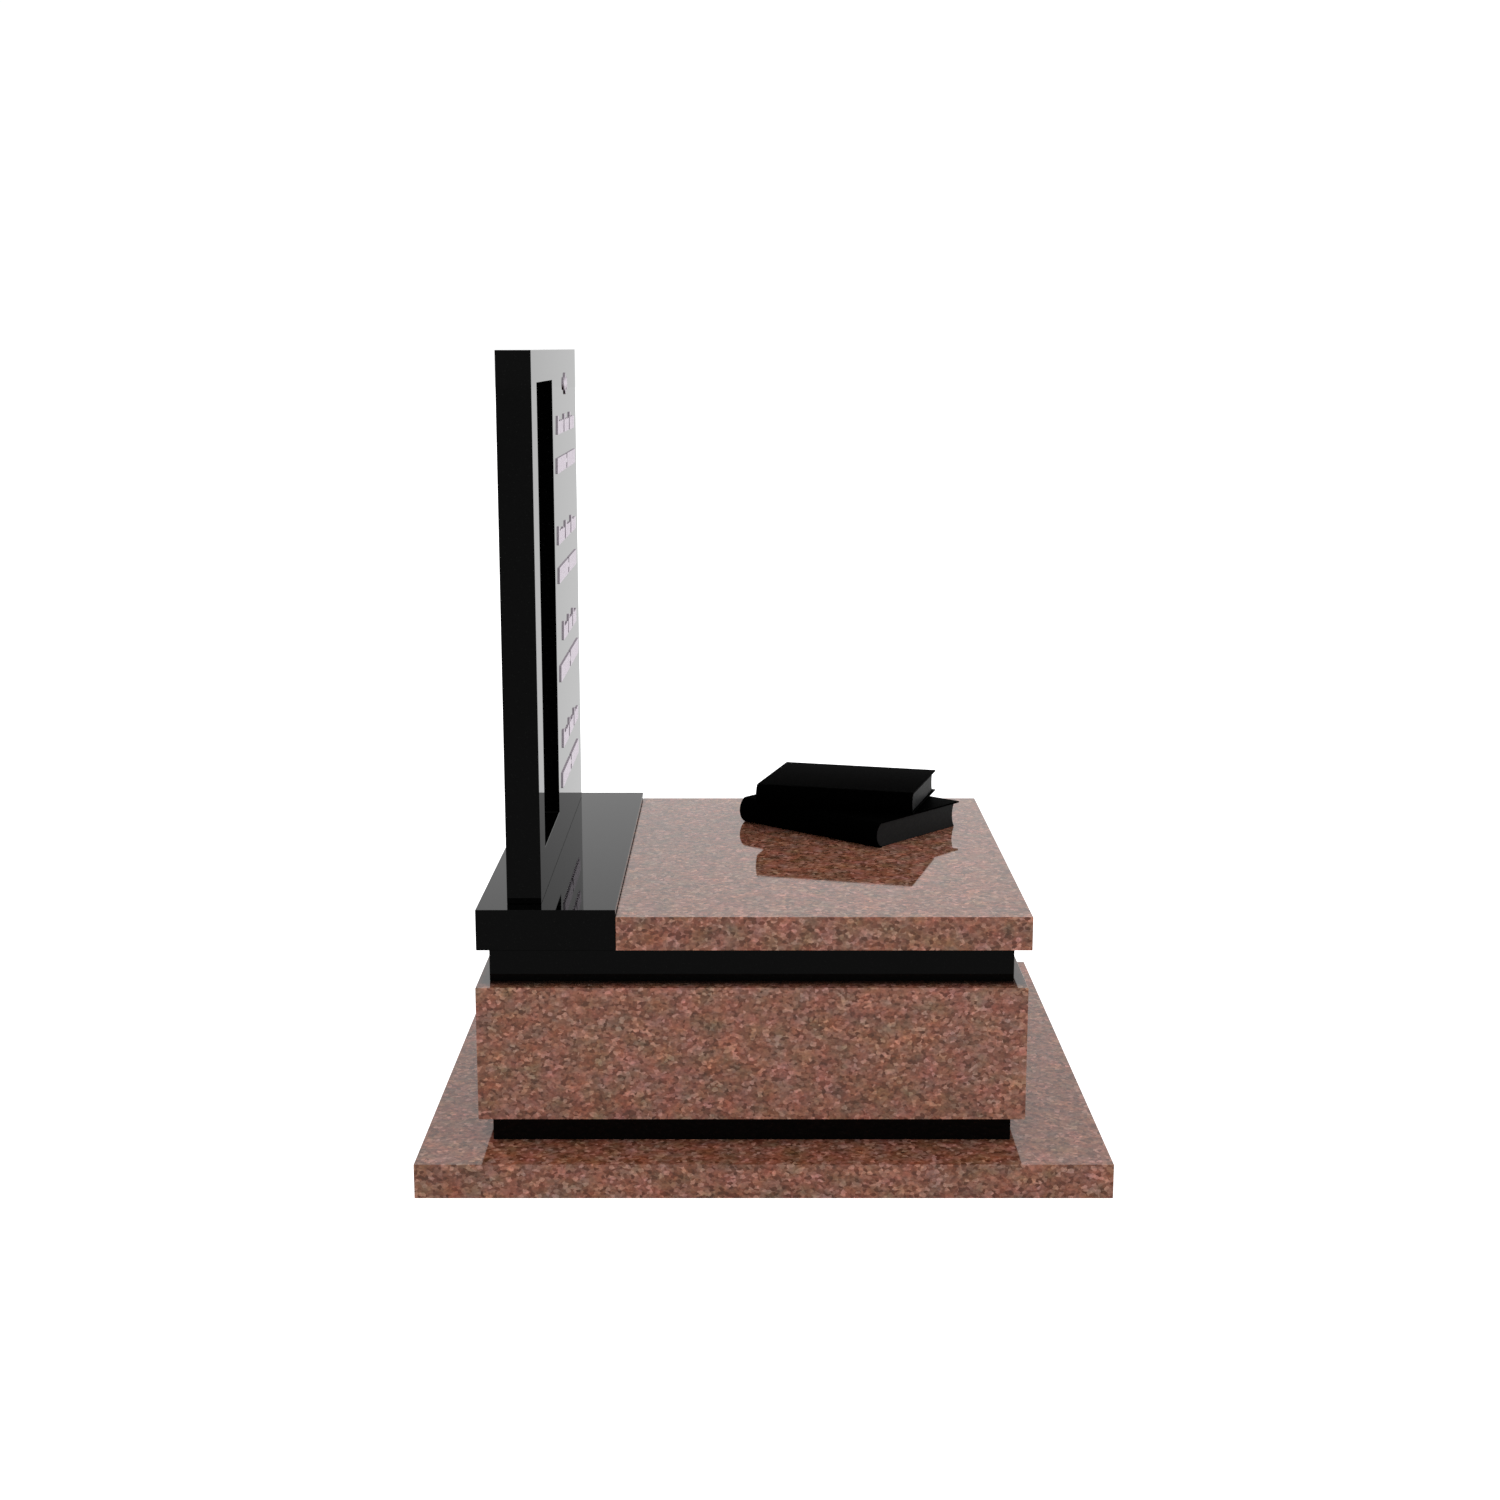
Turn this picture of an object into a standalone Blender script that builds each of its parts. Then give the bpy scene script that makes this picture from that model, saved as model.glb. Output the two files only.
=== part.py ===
"""Urn grave memorial in polished granite.

A square base plate carries a stepped chest, hollow inside for the urns. A cover slab and a thicker
header block close the chest. The header block carries an upright headstone with a tall window cut
through it, and two carved stone books lie on the cover slab.

Metres, +Z up. The origin is at the middle of the base plate's underside, and the inscribed side
of the headstone faces -Y.
"""
import math

import bmesh
import bpy
from mathutils import Matrix, Vector

# Stones that rest on or meet each other keep this gap.
GAP = 0.0003
# Width of the small flat that is ground along every edge of a polished stone.
ARRIS = 0.0005
BOOK_ARRIS = 0.0004

# Base plate, centred on the origin.
PLATE_WIDTH = 1.000
PLATE_DEPTH = 1.000
PLATE_THICKNESS = 0.051

# Chest. Its back stands in from the plate's back edge.
CHEST_WIDTH = 0.845
CHEST_DEPTH = 0.798
CHEST_HEIGHT = 0.1995
CHEST_BACK_MARGIN = 0.084

# The two low courses are set back from the chest's faces. Their wall sets the urn chamber's size.
LOWER_PLINTH_HEIGHT = 0.038
LOWER_PLINTH_SIDE_SETBACK = 0.019
LOWER_PLINTH_END_SETBACK = 0.019
UPPER_PLINTH_HEIGHT = 0.050
UPPER_PLINTH_SIDE_SETBACK = 0.035
UPPER_PLINTH_END_SETBACK = 0.017
PLINTH_WALL = 0.050

# Header block at the back, flush with the chest's back, and the cover slab in front of it.
COVER_WIDTH = 0.807
COVER_FRONT_OVERHANG = 0.007
COVER_THICKNESS = 0.050
HEADER_DEPTH = 0.202
HEADER_HEIGHT = 0.0605

# Headstone, centred on the header block and nearer its back than its front.
STONE_WIDTH = 0.740
STONE_THICKNESS = 0.050
STONE_HEIGHT = 0.792
STONE_BACK_INSET = 0.0425

# Window through the headstone, measured from its -X edge and its foot.
WINDOW_WIDTH = 0.237
WINDOW_HEIGHT = 0.679
WINDOW_SIDE_MARGIN = 0.0726
WINDOW_SILL = 0.0672

# Books. Length is along the spine, width from the spine's foot to the boards' fore edge.
BOOK_BOARD = 0.0025
LOWER_BOOK_LENGTH = 0.298
LOWER_BOOK_WIDTH = 0.217
LOWER_BOOK_THICKNESS = 0.043
LOWER_BOOK_TURN = math.radians(-131.4)
LOWER_BOOK_OFFSET = Vector((0.198, -0.067))
LOWER_BOOK_SPINE_RISE = 0.013
UPPER_BOOK_LENGTH = 0.269
UPPER_BOOK_WIDTH = 0.198
UPPER_BOOK_THICKNESS = 0.0368
UPPER_BOOK_TURN = math.radians(-105.6)
UPPER_BOOK_OFFSET = Vector((0.009, 0.006))
UPPER_BOOK_SPINE_RISE = 0.009
# How far the boards stand past the pages, at the head and tail and at the fore edge.
BOARD_END_LIP = 0.004
BOARD_FORE_LIP = 0.008
FOOT_BOARD_LIP = 0.002
FORE_EDGE_HOLLOW = 0.006
SPINE_STEPS = 16
FORE_EDGE_STEPS = 12

# Levels, from the ground up.
plinth_foot = PLATE_THICKNESS + GAP
plinth_top = plinth_foot + LOWER_PLINTH_HEIGHT
chest_foot = plinth_top + GAP
chest_top = chest_foot + CHEST_HEIGHT
course_foot = chest_top + GAP
course_top = course_foot + UPPER_PLINTH_HEIGHT
cover_foot = course_top + GAP
cover_top = cover_foot + COVER_THICKNESS
header_top = cover_foot + HEADER_HEIGHT
stone_foot = header_top + GAP
stone_top = stone_foot + STONE_HEIGHT

# Faces along Y, from the back to the front.
chest_back = PLATE_DEPTH / 2 - CHEST_BACK_MARGIN
chest_front = chest_back - CHEST_DEPTH
header_front = chest_back - HEADER_DEPTH
cover_back = header_front - GAP
cover_front = chest_front - COVER_FRONT_OVERHANG
stone_back = chest_back - STONE_BACK_INSET
stone_front = stone_back - STONE_THICKNESS

# Headstone and window along X.
stone_left = -STONE_WIDTH / 2
stone_right = STONE_WIDTH / 2
window_left = stone_left + WINDOW_SIDE_MARGIN
window_right = window_left + WINDOW_WIDTH
window_foot = stone_foot + WINDOW_SILL
window_top = window_foot + WINDOW_HEIGHT


def clear_scene():
    for old in list(bpy.data.objects):
        bpy.data.objects.remove(old, do_unlink=True)


def new_collection(name):
    collection = bpy.data.collections.new(name)
    bpy.context.scene.collection.children.link(collection)
    return collection


def polished_stone(name, colour, roughness):
    material = bpy.data.materials.new(name)
    material.use_nodes = True
    shader = material.node_tree.nodes["Principled BSDF"]
    shader.inputs["Base Color"].default_value = (*colour, 1.0)
    shader.inputs["Roughness"].default_value = roughness
    shader.inputs["Metallic"].default_value = 0.0
    material.diffuse_color = (*colour, 1.0)
    return material


def add_object(name, mesh, collection, material=None):
    thing = bpy.data.objects.new(name, mesh)
    collection.objects.link(thing)
    if material:
        mesh.materials.append(material)
    return thing


def box(name, low, high, collection, material=None):
    """A box between two corners, with its object's origin at its middle."""
    low, high = Vector(low), Vector(high)
    shape = bmesh.new()
    bmesh.ops.create_cube(shape, size=1.0)
    bmesh.ops.scale(shape, vec=high - low, verts=shape.verts)
    mesh = bpy.data.meshes.new(name)
    shape.to_mesh(mesh)
    shape.free()
    thing = add_object(name, mesh, collection, material)
    thing.location = (low + high) / 2
    return thing


def as_cutter(thing):
    thing.hide_render = True
    thing.display_type = "WIRE"
    return thing


def combine(thing, operation, other):
    change = thing.modifiers.new(operation.lower(), "BOOLEAN")
    change.operation = operation
    change.solver = "EXACT"
    change.object = other


def grind_arris(thing, width):
    """A narrow flat along every sharp edge, as a polisher grinds it."""
    bevel = thing.modifiers.new("arris", "BEVEL")
    bevel.width = width
    bevel.segments = 1
    bevel.limit_method = "ANGLE"
    bevel.angle_limit = math.radians(30)


def set_back_ring(name, side_setback, end_setback, foot, top, material):
    """A low course that stands in from the chest's faces, hollow over the urn chamber."""
    half = CHEST_WIDTH / 2 - side_setback
    ring = box(name, (-half, chest_front + end_setback, foot), (half, chest_back - end_setback, top),
               memorial, material)
    combine(ring, "DIFFERENCE", chamber)
    grind_arris(ring, ARRIS)
    return ring


def bow(start, end, rise, steps):
    """Points on a circular arc from start to end, which bulges by rise to the left of the way."""
    start, end = Vector(start), Vector(end)
    along = (end - start).normalized()
    left = Vector((-along.y, along.x))
    half = (end - start).length / 2
    radius = (half * half + rise * rise) / (2 * abs(rise))
    side = math.copysign(1.0, rise)
    centre = (start + end) / 2 - left * side * (radius - abs(rise))
    reach = math.asin(min(1.0, half / radius))
    points = []
    for step in range(steps + 1):
        turn = reach * (2 * step / steps - 1)
        points.append(centre + left * side * radius * math.cos(turn) + along * radius * math.sin(turn))
    return points


def extruded_outline(name, points, length, collection, material=None):
    """A flat outline across a book (Y across, Z up), extruded along its spine (X)."""
    curve = bpy.data.curves.new(name, "CURVE")
    curve.dimensions = "2D"
    curve.fill_mode = "BOTH"
    curve.extrude = length / 2
    spline = curve.splines.new("POLY")
    spline.points.add(len(points) - 1)
    for place, point in zip(spline.points, points):
        place.co = (point[0], point[1], 0.0, 1.0)
    spline.use_cyclic_u = True
    drawn = bpy.data.objects.new(name + "_outline", curve)
    memorial.objects.link(drawn)
    mesh = bpy.data.meshes.new_from_object(drawn.evaluated_get(bpy.context.evaluated_depsgraph_get()))
    bpy.data.objects.remove(drawn, do_unlink=True)
    shape = bmesh.new()
    shape.from_mesh(mesh)
    bmesh.ops.remove_doubles(shape, verts=shape.verts, dist=0.00001)
    bmesh.ops.dissolve_limit(shape, angle_limit=math.radians(0.5), verts=shape.verts, edges=shape.edges)
    bmesh.ops.recalc_face_normals(shape, faces=shape.faces)
    shape.to_mesh(mesh)
    shape.free()
    mesh.transform(Matrix(((0, 0, 1, 0), (1, 0, 0, 0), (0, 1, 0, 0), (0, 0, 0, 1))))
    return add_object(name, mesh, collection, material)


def case_outline(width, thickness, rise, foot_width):
    """The case seen from its tail: top board, rounded spine and foot board, round the pages."""
    back = -width / 2
    outer_spine = bow((back, 0.0), (back, thickness), rise, SPINE_STEPS)
    inner_spine = bow((back, BOOK_BOARD), (back, thickness - BOOK_BOARD), rise - BOOK_BOARD, SPINE_STEPS)
    foot_edge = back + foot_width
    fore_edge = back + width
    outside = [(foot_edge, 0.0)] + outer_spine + [(fore_edge, thickness)]
    inside = [(fore_edge, thickness - BOOK_BOARD)] + inner_spine[::-1] + [(foot_edge, BOOK_BOARD)]
    return outside + inside


def pages_outline(width, thickness, rise):
    """The page block seen from its tail: it runs into the case and is hollow at the fore edge."""
    back = -width / 2
    low = BOOK_BOARD / 2
    high = thickness - BOOK_BOARD / 2
    fore_edge = back + width - BOARD_FORE_LIP
    spine = bow((back, low), (back, high), rise - BOOK_BOARD / 2, SPINE_STEPS)
    hollow = bow((fore_edge, high), (fore_edge, low), -FORE_EDGE_HOLLOW, FORE_EDGE_STEPS)
    return spine + hollow


def book(name, length, width, thickness, rise, foot_lip, middle, foot, turn, material):
    """A closed book carved in one piece, lying flat, with its spine towards its own -Y."""
    foot_width = width - BOARD_FORE_LIP + foot_lip
    case = extruded_outline(name, case_outline(width, thickness, rise, foot_width), length, memorial, material)
    pages = extruded_outline(name + "_pages", pages_outline(width, thickness, rise),
                             length - 2 * BOARD_END_LIP, cutters, material)
    combine(case, "UNION", as_cutter(pages))
    grind_arris(case, BOOK_ARRIS)
    for piece in (case, pages):
        piece.location = (middle.x, middle.y, foot)
        piece.rotation_euler = (0.0, 0.0, turn)
    return case


clear_scene()
memorial = new_collection("urn_grave_memorial")
cutters = new_collection("cutters")
red_granite = polished_stone("red_granite", (0.20, 0.085, 0.062), 0.12)
black_granite = polished_stone("black_granite", (0.010, 0.010, 0.011), 0.08)

# The urn chamber is one void through the chest and both low courses.
plinth_half = CHEST_WIDTH / 2 - max(LOWER_PLINTH_SIDE_SETBACK, UPPER_PLINTH_SIDE_SETBACK)
plinth_end = max(LOWER_PLINTH_END_SETBACK, UPPER_PLINTH_END_SETBACK)
chamber_half = plinth_half - PLINTH_WALL
chamber_front = chest_front + plinth_end + PLINTH_WALL
chamber_back = chest_back - plinth_end - PLINTH_WALL
chamber = as_cutter(box("urn_chamber_void", (-chamber_half, chamber_front, plinth_foot - PLATE_THICKNESS / 2),
                        (chamber_half, chamber_back, course_top + COVER_THICKNESS / 2), cutters))

# Base plate and chest.
plate = box("base_plate", (-PLATE_WIDTH / 2, -PLATE_DEPTH / 2, 0.0),
            (PLATE_WIDTH / 2, PLATE_DEPTH / 2, PLATE_THICKNESS), memorial, red_granite)
grind_arris(plate, ARRIS)
set_back_ring("lower_plinth", LOWER_PLINTH_SIDE_SETBACK, LOWER_PLINTH_END_SETBACK,
              plinth_foot, plinth_top, black_granite)
chest = box("chest", (-CHEST_WIDTH / 2, chest_front, chest_foot),
            (CHEST_WIDTH / 2, chest_back, chest_top), memorial, red_granite)
combine(chest, "DIFFERENCE", chamber)
grind_arris(chest, ARRIS)
set_back_ring("upper_plinth", UPPER_PLINTH_SIDE_SETBACK, UPPER_PLINTH_END_SETBACK,
              course_foot, course_top, black_granite)

# Cover slab and header block.
cover = box("cover_slab", (-COVER_WIDTH / 2, cover_front, cover_foot),
            (COVER_WIDTH / 2, cover_back, cover_top), memorial, red_granite)
grind_arris(cover, ARRIS)
header = box("header_block", (-COVER_WIDTH / 2, header_front, cover_foot),
             (COVER_WIDTH / 2, chest_back, header_top), memorial, black_granite)
grind_arris(header, ARRIS)

# Headstone with its window.
headstone = box("headstone", (stone_left, stone_front, stone_foot),
                (stone_right, stone_back, stone_top), memorial, black_granite)
window = as_cutter(box("window_void", (window_left, stone_front - STONE_THICKNESS, window_foot),
                       (window_right, stone_back + STONE_THICKNESS, window_top), cutters))
combine(headstone, "DIFFERENCE", window)
grind_arris(headstone, ARRIS)

# Books, the upper one lying across the lower one.
cover_middle = Vector((0.0, (cover_front + cover_back) / 2))
lower_middle = cover_middle + LOWER_BOOK_OFFSET
upper_middle = lower_middle + UPPER_BOOK_OFFSET
lower_foot = cover_top + GAP
upper_foot = lower_foot + LOWER_BOOK_THICKNESS + GAP
book("lower_book", LOWER_BOOK_LENGTH, LOWER_BOOK_WIDTH, LOWER_BOOK_THICKNESS, LOWER_BOOK_SPINE_RISE,
     FOOT_BOARD_LIP, lower_middle, lower_foot, LOWER_BOOK_TURN, black_granite)
book("upper_book", UPPER_BOOK_LENGTH, UPPER_BOOK_WIDTH, UPPER_BOOK_THICKNESS, UPPER_BOOK_SPINE_RISE,
     BOARD_FORE_LIP, upper_middle, upper_foot, UPPER_BOOK_TURN, black_granite)
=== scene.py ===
# %% [markdown]
# Urn grave memorial in polished granite.
# This lesson dresses a memorial whose stones already have their final size. They come in from the
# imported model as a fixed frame, in metres, with +Z up and the inscribed side of the headstone facing -Y.
# The steps are the camera, a plain studio, the finishes of the two granites, the two carved books and the
# raised metal strokes on the headstone. Run it in Blender 4.5, from the top to the end.

# %% Load the frame
import math
import random

import bpy
from mathutils import Matrix, Vector


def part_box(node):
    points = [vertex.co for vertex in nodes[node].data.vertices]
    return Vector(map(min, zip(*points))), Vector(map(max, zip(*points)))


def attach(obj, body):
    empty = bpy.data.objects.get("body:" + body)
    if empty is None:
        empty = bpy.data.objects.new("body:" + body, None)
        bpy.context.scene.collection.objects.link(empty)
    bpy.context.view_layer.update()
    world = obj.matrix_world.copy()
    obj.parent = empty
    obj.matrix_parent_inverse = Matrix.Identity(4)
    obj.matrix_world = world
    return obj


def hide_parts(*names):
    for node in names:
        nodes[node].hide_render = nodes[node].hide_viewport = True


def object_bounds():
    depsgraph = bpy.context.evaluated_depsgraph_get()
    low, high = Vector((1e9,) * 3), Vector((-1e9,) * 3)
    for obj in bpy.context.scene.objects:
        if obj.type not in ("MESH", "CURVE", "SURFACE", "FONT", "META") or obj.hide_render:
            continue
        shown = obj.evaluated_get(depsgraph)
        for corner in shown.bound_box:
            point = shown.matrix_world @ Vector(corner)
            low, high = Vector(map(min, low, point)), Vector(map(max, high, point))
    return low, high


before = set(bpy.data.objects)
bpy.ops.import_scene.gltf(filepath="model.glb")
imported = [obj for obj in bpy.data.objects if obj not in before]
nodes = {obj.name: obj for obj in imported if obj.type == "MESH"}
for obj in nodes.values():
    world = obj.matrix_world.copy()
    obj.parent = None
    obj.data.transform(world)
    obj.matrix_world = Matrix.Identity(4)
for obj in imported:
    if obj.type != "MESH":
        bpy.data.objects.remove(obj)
cad_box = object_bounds()
print("stones in the frame:", ", ".join(sorted(nodes)))

# %% [markdown]
# The camera stands on the memorial's left side, level with the headstone's top, and looks along +X and
# slightly down. A camera could be aimed with a Track To constraint, but a pitch and a place are all
# that this view needs, and they can be read straight from the two numbers below.

# %% Camera
CAMERA_PLACE = Vector((-3.3087, 0.0197, 1.1973))
CAMERA_PITCH = math.radians(10.952)
CAMERA_LENS = 50.05
SENSOR_WIDTH = 36.0
# Far enough to see the whole floor.
CAMERA_REACH = 300.0

camera_data = bpy.data.cameras.new("camera")
camera_data.lens = CAMERA_LENS
camera_data.sensor_width = SENSOR_WIDTH
camera_data.clip_end = CAMERA_REACH
camera = bpy.data.objects.new("camera", camera_data)
camera.location = CAMERA_PLACE
camera.rotation_euler = (math.pi / 2 - CAMERA_PITCH, 0.0, -math.pi / 2)
bpy.context.scene.collection.objects.link(camera)
bpy.context.scene.camera = camera
memorial_middle = (Vector(cad_box[0]) + Vector(cad_box[1])) / 2
print("camera", round((CAMERA_PLACE - memorial_middle).length, 2), "m from the middle of the memorial")

# %% [markdown]
# Every material below is a small node tree. Helpers keep the cells short: one adds a node and fills its
# sockets by name, one starts a material whose Principled shader has its plain values set, and the others
# stand for nodes that are needed often. A value that is the same all over a surface stays on the shader's
# own socket.

# %% Node helpers
# Nearly all of a noise lies between these two values.
NOISE_LOW = 0.3
NOISE_HIGH = 0.7


def add_node(tree, kind, inputs=None, **settings):
    """A new node; inputs maps a socket's name or number to a value or to another node's output."""
    made = tree.nodes.new(kind)
    for key, value in settings.items():
        setattr(made, key, value)
    for key, value in (inputs or {}).items():
        if isinstance(value, bpy.types.NodeSocket):
            tree.links.new(value, made.inputs[key])
        else:
            made.inputs[key].default_value = value
    return made


def math_node(tree, operation, first, second=0.0, third=0.0):
    """The result of one Math node."""
    return add_node(tree, "ShaderNodeMath", {0: first, 1: second, 2: third}, operation=operation).outputs[0]


def mix_colours(tree, share, first, second, blend="MIX"):
    """Two colours mixed by a share from 0 to 1."""
    made = add_node(tree, "ShaderNodeMix", {0: share, 6: first, 7: second},
                    data_type="RGBA", blend_type=blend)
    return made.outputs[2]


def mix_values(tree, share, first, second):
    """Two numbers mixed by a share from 0 to 1."""
    return add_node(tree, "ShaderNodeMix", {0: share, 2: first, 3: second}, data_type="FLOAT").outputs[0]


def map_range(tree, value, low, high, to_low, to_high, smooth=False):
    """A value carried from one range to another, and held at its ends."""
    kind = "SMOOTHSTEP" if smooth else "LINEAR"
    return add_node(tree, "ShaderNodeMapRange", {0: value, 1: low, 2: high, 3: to_low, 4: to_high},
                    interpolation_type=kind).outputs[0]


def colour_bands(tree, value, bands, interpolation="CONSTANT"):
    """A colour ramp from a list of (place, colour)."""
    made = add_node(tree, "ShaderNodeValToRGB", {0: value})
    ramp = made.color_ramp
    ramp.interpolation = interpolation
    while len(ramp.elements) < len(bands):
        ramp.elements.new(0.5)
    for element, (place, colour) in zip(ramp.elements, bands):
        element.position = place
        element.color = (*colour, 1.0)
    return made.outputs[0]


def start_material(name, **plain_values):
    """A material, its node tree and its Principled shader, with the plain values set on the shader."""
    material = bpy.data.materials.new(name)
    material.use_nodes = True
    tree = material.node_tree
    shader = tree.nodes["Principled BSDF"]
    for socket, value in plain_values.items():
        shader.inputs[socket.replace("_", " ")].default_value = value
    return material, tree, shader


print("node helpers ready")

# %% [markdown]
# A product picture of polished stone is mostly a picture of its surroundings. Here they are a white floor
# and a white sky. The side behind the memorial is brighter than the side behind the camera, so polish that
# is seen at a low angle shines, and stone that is seen straight on stays dark. The camera itself sees plain
# white, which a Light Path node keeps apart from what the stone mirrors. Lamps alone could do it too, but
# their shapes would show in the polish.

# %% Sky
SKY_DIM = 0.70
SKY_GLOW = 0.26
SKY_WHITE = 1.05
# Height above the horizon at which the glow has gone, as the sine of its angle.
GLOW_TOP = 0.60
WHITE = (1.0, 1.0, 1.0, 1.0)


def glow_towards_x(tree, along_x, start, end):
    """Share of the glow from 0 on the camera's side of the memorial to 1 on the side behind it."""
    return map_range(tree, along_x, start, end, 0.0, 1.0, smooth=True)


def white_for_camera(tree, lit, white):
    """A glow's strength: plain white for the camera, and its true strength for all that mirrors it."""
    seen = add_node(tree, "ShaderNodeLightPath").outputs["Is Camera Ray"]
    return mix_values(tree, seen, lit, white)


world = bpy.data.worlds.new("studio")
world.use_nodes = True
bpy.context.scene.world = world
sky = world.node_tree
direction = add_node(sky, "ShaderNodeTexCoord").outputs["Generated"]
parts = add_node(sky, "ShaderNodeSeparateXYZ", {0: direction})
low_sky = map_range(sky, parts.outputs["Z"], 0.0, GLOW_TOP, 1.0, 0.0, smooth=True)
sky_glow = math_node(sky, "MULTIPLY", glow_towards_x(sky, parts.outputs["X"], 0.0, 1.0), low_sky)
lit = math_node(sky, "MULTIPLY_ADD", sky_glow, SKY_GLOW, SKY_DIM)
background = sky.nodes["Background"]
background.inputs["Color"].default_value = WHITE
sky.links.new(white_for_camera(sky, lit, SKY_WHITE), background.inputs["Strength"])
bpy.context.scene.view_settings.view_transform = "Standard"
print("sky from", SKY_DIM, "to", SKY_DIM + SKY_GLOW)

# %% [markdown]
# The floor is one large white face, level with the memorial's underside. It is painted white, and it glows
# more and more towards the side behind the memorial, so that floor and sky meet without a seam in what the
# polish mirrors. The camera sees plain white here too.

# %% Floor
FLOOR_REACH = 60.0
FLOOR_PAINT = (0.8, 0.8, 0.8, 1.0)
# Extra light of the floor, for what mirrors it and for the camera.
FLOOR_GLOW = 0.40
FLOOR_WHITE = 1.0
# Glow of the floor on the camera's side, and where along X it starts and ends to grow.
FLOOR_LEAST_GLOW = 0.02
GLOW_START = -0.5
GLOW_END = 2.0

floor_mesh = bpy.data.meshes.new("floor")
floor_corners = [(x * FLOOR_REACH, y * FLOOR_REACH, 0.0) for x, y in ((-1, -1), (1, -1), (1, 1), (-1, 1))]
floor_mesh.from_pydata(floor_corners, [], [(0, 1, 2, 3)])
floor = bpy.data.objects.new("floor", floor_mesh)
bpy.context.scene.collection.objects.link(floor)
white_floor, tree, shader = start_material("white_floor", Base_Color=FLOOR_PAINT, Roughness=1.0,
                                           Specular_IOR_Level=0.0, Emission_Color=WHITE)
place = add_node(tree, "ShaderNodeTexCoord").outputs["Object"]
floor_x = add_node(tree, "ShaderNodeSeparateXYZ", {0: place}).outputs["X"]
glow_share = glow_towards_x(tree, floor_x, GLOW_START, GLOW_END)
floor_glow = math_node(tree, "MULTIPLY_ADD", glow_share, FLOOR_GLOW, FLOOR_LEAST_GLOW)
tree.links.new(white_for_camera(tree, floor_glow, FLOOR_WHITE), shader.inputs["Emission Strength"])
floor_mesh.materials.append(white_floor)
print("floor", 2 * FLOOR_REACH, "m wide")

# %% [markdown]
# A soft lamp overhead gives the tops a little more light than the sides. A Sun lamp would give hard
# shadows. The lamp is hidden from the camera and from the polish, because its square outline would show in
# the stone like a window.

# %% Overhead softbox
SOFTBOX_SIZE = 3.0
SOFTBOX_PLACE = Vector((-0.8, -0.8, 3.5))
SOFTBOX_AIM = Vector((0.0, 0.0, 0.3))
SOFTBOX_POWER = 10.0

lamp = bpy.data.lights.new("softbox", "AREA")
lamp.size = SOFTBOX_SIZE
lamp.energy = SOFTBOX_POWER
softbox = bpy.data.objects.new("softbox", lamp)
softbox.location = SOFTBOX_PLACE
softbox.rotation_euler = (SOFTBOX_AIM - SOFTBOX_PLACE).to_track_quat("-Z", "Y").to_euler()
softbox.visible_glossy = False
softbox.visible_camera = False
bpy.context.scene.collection.objects.link(softbox)
print("softbox of", SOFTBOX_POWER, "W")

# %% [markdown]
# Granite is a tight mass of crystals: pink and orange feldspar, grey quartz and nearly black mica, a few
# millimetres across each. An image of a real slab could be wrapped on, but its edges would show where faces
# meet. A solid texture, worked out from the point in space, runs through the stone as real crystals do, so
# top and side agree along every edge. Voronoi cells give one random number to each crystal, and a noise
# bends the cells so that they aren't neat polygons. Clouds of a few centimetres, where the stone turns from
# brown to pink, come from a larger noise. Both granites and the books use this one group.

# %% Crystal group
def start_group(name, inputs, outputs):
    """An empty node group. inputs and outputs map names to a socket type, or to a type and a default."""
    group = bpy.data.node_groups.new(name, "ShaderNodeTree")
    for socket, (kind, default) in inputs.items():
        made = group.interface.new_socket(socket, in_out="INPUT", socket_type=kind)
        if default is not None:
            made.default_value = default
    for socket, kind in outputs.items():
        group.interface.new_socket(socket, in_out="OUTPUT", socket_type=kind)
    inside = group.nodes.new("NodeGroupInput")
    outside = group.nodes.new("NodeGroupOutput")
    return group, inside.outputs, outside.inputs


def vector_node(tree, operation, first, second=(0.0, 0.0, 0.0)):
    """The result of one Vector Math node."""
    made = add_node(tree, "ShaderNodeVectorMath", {0: first, 1: second}, operation=operation)
    return made.outputs["Vector"]


def scaled_vector(tree, vector, scale):
    """A vector or colour multiplied by a number."""
    return add_node(tree, "ShaderNodeVectorMath", {0: vector, "Scale": scale}, operation="SCALE").outputs[0]


FLOAT = "NodeSocketFloat"
VECTOR = "NodeSocketVector"
COLOUR = "NodeSocketColor"
# Crystals lie a little flatter than they are wide.
CRYSTAL_STRETCH = (1.0, 1.0, 1.3)
# Scale of the finest grain against the specks, and of the clouds against the crystals.
GRAIN_SCALE = 0.7
CLOUD_SCALE = 0.20
# Moves the specks away from the crystals, so that the two don't share cells.
SPECK_SHIFT = 3.7

crystals, given, result = start_group(
    "granite_crystals",
    {"Vector": (VECTOR, None), "Block": (VECTOR, (0.0, 0.0, 0.0)), "Crystal Size": (FLOAT, 0.009),
     "Speck Size": (FLOAT, 0.004), "Raggedness": (FLOAT, 0.8)},
    {"Crystal": FLOAT, "Speck": FLOAT, "Grain": FLOAT, "Cloud": COLOUR})
in_block = vector_node(crystals, "ADD", given["Vector"], given["Block"])
flattened = vector_node(crystals, "MULTIPLY", in_block, CRYSTAL_STRETCH)


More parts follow.
